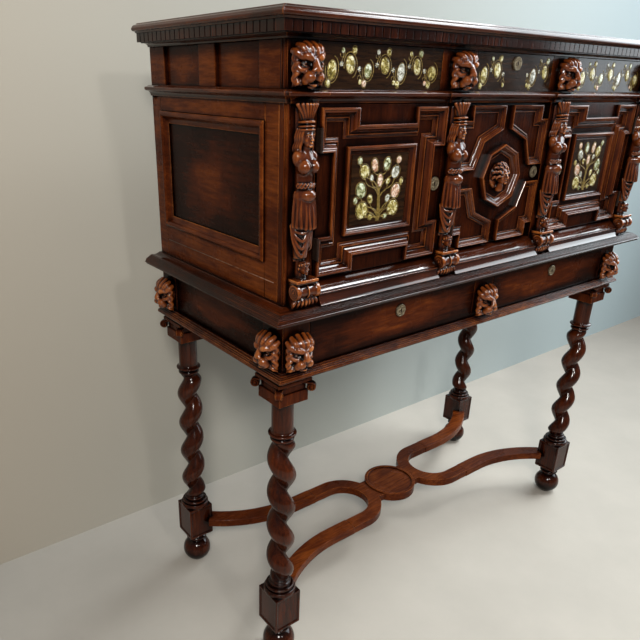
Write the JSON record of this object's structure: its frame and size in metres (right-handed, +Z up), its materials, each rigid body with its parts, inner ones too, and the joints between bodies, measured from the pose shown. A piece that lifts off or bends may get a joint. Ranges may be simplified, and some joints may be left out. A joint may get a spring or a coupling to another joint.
{
  "type": "cabinet on stand",
  "caption": "Carved walnut cabinet with three doors and frieze drawers on a barley-twist stand with drawers and a shaped flat stretcher.",
  "frame": {"origin": "on the floor under the middle of the whole piece, which is the middle of its overall width and depth", "axes": "+X to the viewer's right when facing the doors, +Y to the back, +Z up"},
  "size_m": [1.448, 0.6, 1.55],
  "materials": {
    "walnut": "dark stained and waxed",
    "walnut_light": "waxed, worn lighter on the high places",
    "drawer_wood": "plain unpolished inside wood",
    "inlay_ground": "near-black polished ground with shell inlay",
    "old_bronze": "dull, darkened",
    "iron": "dark"
  },
  "bodies": {
    "case": {"ball_feet": "walnut", "leg_front_left": "walnut", "leg_front_right": "walnut", "leg_back_left": "walnut", "leg_back_right": "walnut", "capitals": "walnut", "stretcher_centre": "walnut", "stretcher_arms": "walnut", "stand_base_board": "walnut", "stand_base_moulding": "walnut", "stand_corner_posts": "walnut", "stand_side_aprons": "walnut", "stand_rails": "walnut", "stand_centre_stile": "walnut", "stand_drawer_runners": "drawer_wood", "stand_masks": "walnut_light", "waist_moulding": "walnut", "cabinet_bottom": "walnut", "cabinet_side_left": "walnut", "cabinet_side_right": "walnut", "side_panel_mouldings": "walnut", "cabinet_back": "drawer_wood", "cabinet_partitions": "drawer_wood", "mid_board": "walnut", "pilasters": "walnut", "carved_figures": "walnut_light", "door_sills": "walnut", "mid_moulding": "walnut", "frieze_posts": "walnut", "frieze_masks": "walnut_light", "cabinet_top": "walnut", "dentil_band": "walnut", "dentils": "walnut", "cornice": "walnut", "hinge_frames": "iron"},
    "stand_drawer_left": {"stand_drawer_left_front": "walnut", "stand_drawer_left_box": "drawer_wood", "stand_drawer_left_lock": "old_bronze"},
    "stand_drawer_right": {"stand_drawer_right_front": "walnut", "stand_drawer_right_box": "drawer_wood", "stand_drawer_right_lock": "old_bronze"},
    "frieze_drawer_left": {"frieze_drawer_left_front": "inlay_ground", "frieze_drawer_left_box": "drawer_wood"},
    "frieze_drawer_centre": {"frieze_drawer_centre_front": "inlay_ground", "frieze_drawer_centre_box": "drawer_wood", "frieze_drawer_centre_lock": "old_bronze"},
    "frieze_drawer_right": {"frieze_drawer_right_front": "inlay_ground", "frieze_drawer_right_box": "drawer_wood"},
    "left_door": {"door_left": "walnut", "door_left_mouldings": "walnut", "door_left_panel": "inlay_ground", "door_left_metalwork": "old_bronze"},
    "centre_door": {"door_centre": "walnut", "door_centre_mouldings": "walnut", "door_centre_boss": "walnut_light", "door_centre_metalwork": "old_bronze"},
    "right_door": {"door_right": "walnut", "door_right_mouldings": "walnut", "door_right_panel": "inlay_ground", "door_right_metalwork": "old_bronze"}
  },
  "joints": [
    {"name": "stand_drawer_left_slide", "type": "slide", "parent": "case", "child": "stand_drawer_left", "axis": [0, -1, 0], "range_m": [0, 0.34]},
    {"name": "stand_drawer_right_slide", "type": "slide", "parent": "case", "child": "stand_drawer_right", "axis": [0, -1, 0], "range_m": [0, 0.34]},
    {"name": "frieze_drawer_left_slide", "type": "slide", "parent": "case", "child": "frieze_drawer_left", "axis": [0, -1, 0], "range_m": [0, 0.34]},
    {"name": "frieze_drawer_centre_slide", "type": "slide", "parent": "case", "child": "frieze_drawer_centre", "axis": [0, -1, 0], "range_m": [0, 0.34]},
    {"name": "frieze_drawer_right_slide", "type": "slide", "parent": "case", "child": "frieze_drawer_right", "axis": [0, -1, 0], "range_m": [0, 0.34]},
    {"name": "left_door_hinge", "type": "hinge", "parent": "case", "child": "left_door", "pos_m": [-0.59895, -0.2625, 1.2235], "axis": [0, 0, -1], "range_deg": [0, 90]},
    {"name": "centre_door_hinge", "type": "hinge", "parent": "case", "child": "centre_door", "pos_m": [-0.17095, -0.2535, 1.2235], "axis": [0, 0, -1], "range_deg": [0, 90]},
    {"name": "right_door_hinge", "type": "hinge", "parent": "case", "child": "right_door", "pos_m": [0.59895, -0.2625, 1.2235], "axis": [0, 0, 1], "range_deg": [0, 90]}
  ]
}
